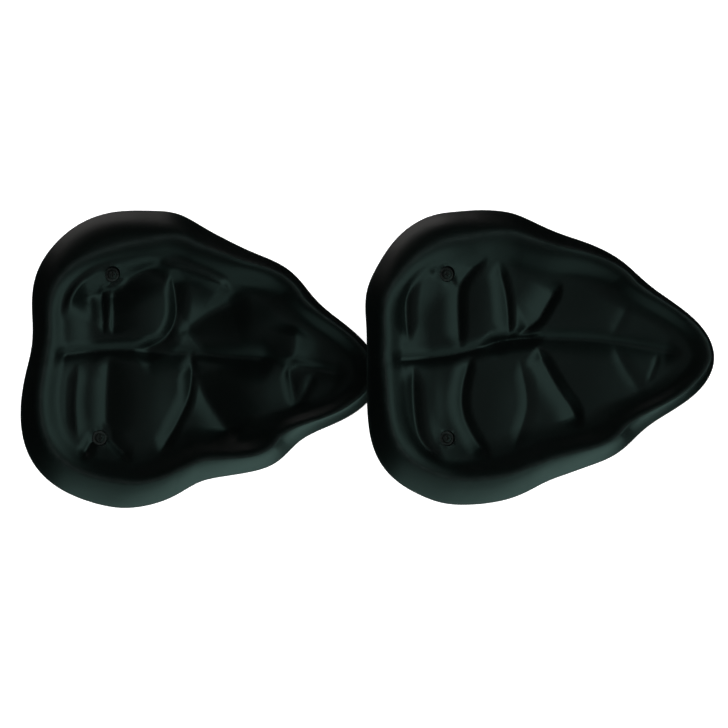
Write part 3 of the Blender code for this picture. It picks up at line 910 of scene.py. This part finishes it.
def grip_rings():
    """Rings along the grip: down one leg, round a quarter bend, along the bar and back up. The radius
    flares into each foot by a quarter circle, dips at the finger rests by a raised cosine and rises at
    the mould's seam."""
    leg = FOOT_TOP - GRIP_AXIS - GRIP_BEND
    bend = 0.5 * math.pi * GRIP_BEND
    bar = boss_y - GRIP_BEND
    half = leg + bend + bar
    foot_end = FOOT_SHARE * leg
    foot_part = np.linspace(0.0, foot_end, FOOT_RINGS)
    along = np.concatenate((foot_part, np.linspace(foot_end, half, HALF_GRIP_RINGS)[1:]))
    turn = np.clip((along - leg) / GRIP_BEND, 0.0, 0.5 * math.pi)
    past = np.maximum(along - leg - bend, 0.0)
    y = boss_y - GRIP_BEND * (1.0 - np.cos(turn)) - past
    z = np.where(along < leg, FOOT_TOP - along, GRIP_AXIS + GRIP_BEND * (1.0 - np.sin(turn)))
    ease = np.clip((along - FOOT_THICKNESS) / FOOT_FILLET, 0.0, 1.0)
    flare = (FOOT_RADIUS - GRIP_RADIUS) * (1.0 - np.sqrt(1.0 - (1.0 - ease) ** 2))
    flare = np.where(along < FOOT_THICKNESS, FOOT_RADIUS - GRIP_RADIUS, flare)
    corner = np.minimum(along / FOOT_CORNER, 1.0)
    flare = flare - FOOT_CORNER * (1.0 - np.sqrt(1.0 - (1.0 - corner) ** 2))
    turn = mirrored(turn, math.pi, -1.0)
    y = mirrored(y, 0.0, -1.0)
    z, flare, past = mirrored(z), mirrored(flare), mirrored(past)
    angle = np.linspace(0.0, 2.0 * math.pi, ROUND, endpoint=False)[None, :]
    towards_leaf = np.clip(np.sin(angle), 0.0, 1.0) ** 2
    rests = 0.5 * (1.0 - np.cos(2.0 * math.pi * y / FINGER_PITCH))[:, None]
    rests = rests * smooth_step(past / FINGER_FADE)[:, None]
    seam = SEAM_HEIGHT * np.exp(-((np.sin(angle) / SEAM_SPREAD) ** 2))
    radius = GRIP_RADIUS + flare[:, None] - FINGER_DEPTH * rests * towards_leaf + seam
    out_y = -np.sin(angle) * np.cos(turn)[:, None]
    out_z = np.sin(angle) * np.sin(turn)[:, None]
    x = boss_x + radius * np.cos(angle)
    return np.stack((x, y[:, None] + radius * out_y, z[:, None] + radius * out_z), axis=-1)


def grip_plastic():
    """Dark green plastic with a spark-eroded grain, duller and shinier in patches where hands rub."""
    material, tree, shader, place = start_material("grip_plastic")
    shader.inputs["IOR"].default_value = PLASTIC_IOR
    flow = add_node(tree, "ShaderNodeTexNoise", {"Vector": place, "Scale": 14.0, "Detail": 5.0})
    colour = two_tone(tree, flow.outputs["Fac"], GRIP_DARK, GRIP_PALE)
    tree.links.new(colour, shader.inputs["Base Color"])
    patch = add_node(tree, "ShaderNodeTexNoise", {"Vector": place, "Scale": 45.0, "Detail": 4.0})
    gloss = add_node(
        tree, "ShaderNodeMapRange", {"Value": patch.outputs["Fac"], "To Min": 0.42, "To Max": 0.62}
    )
    tree.links.new(gloss.outputs["Result"], shader.inputs["Roughness"])
    grain = add_node(tree, "ShaderNodeTexVoronoi", {"Vector": place, "Scale": 1800.0})
    bump = add_node(
        tree, "ShaderNodeBump", {"Height": grain.outputs["Distance"], "Strength": 0.35, "Distance": 0.0001}
    )
    tree.links.new(bump.outputs["Normal"], shader.inputs["Normal"])
    return material


grip_finish = grip_plastic()
for side in HANDS:
    rings = grip_rings()
    poles = (rings[0].mean(axis=0), rings[-1].mean(axis=0))
    points = to_world(np.vstack((rings.reshape(-1, 3), *poles)), side)
    points[:, 2] = np.maximum(points[:, 2], LYING_HEIGHT)
    grip = make_mesh(f"{side}_bar_grip", points, capped_faces(*rings.shape[:2], True), GRIP_SHARP_ANGLE)
    grip.data.materials.append(grip_finish)
    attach(grip, f"{side}_hand")
    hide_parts(f"{side}_grip")
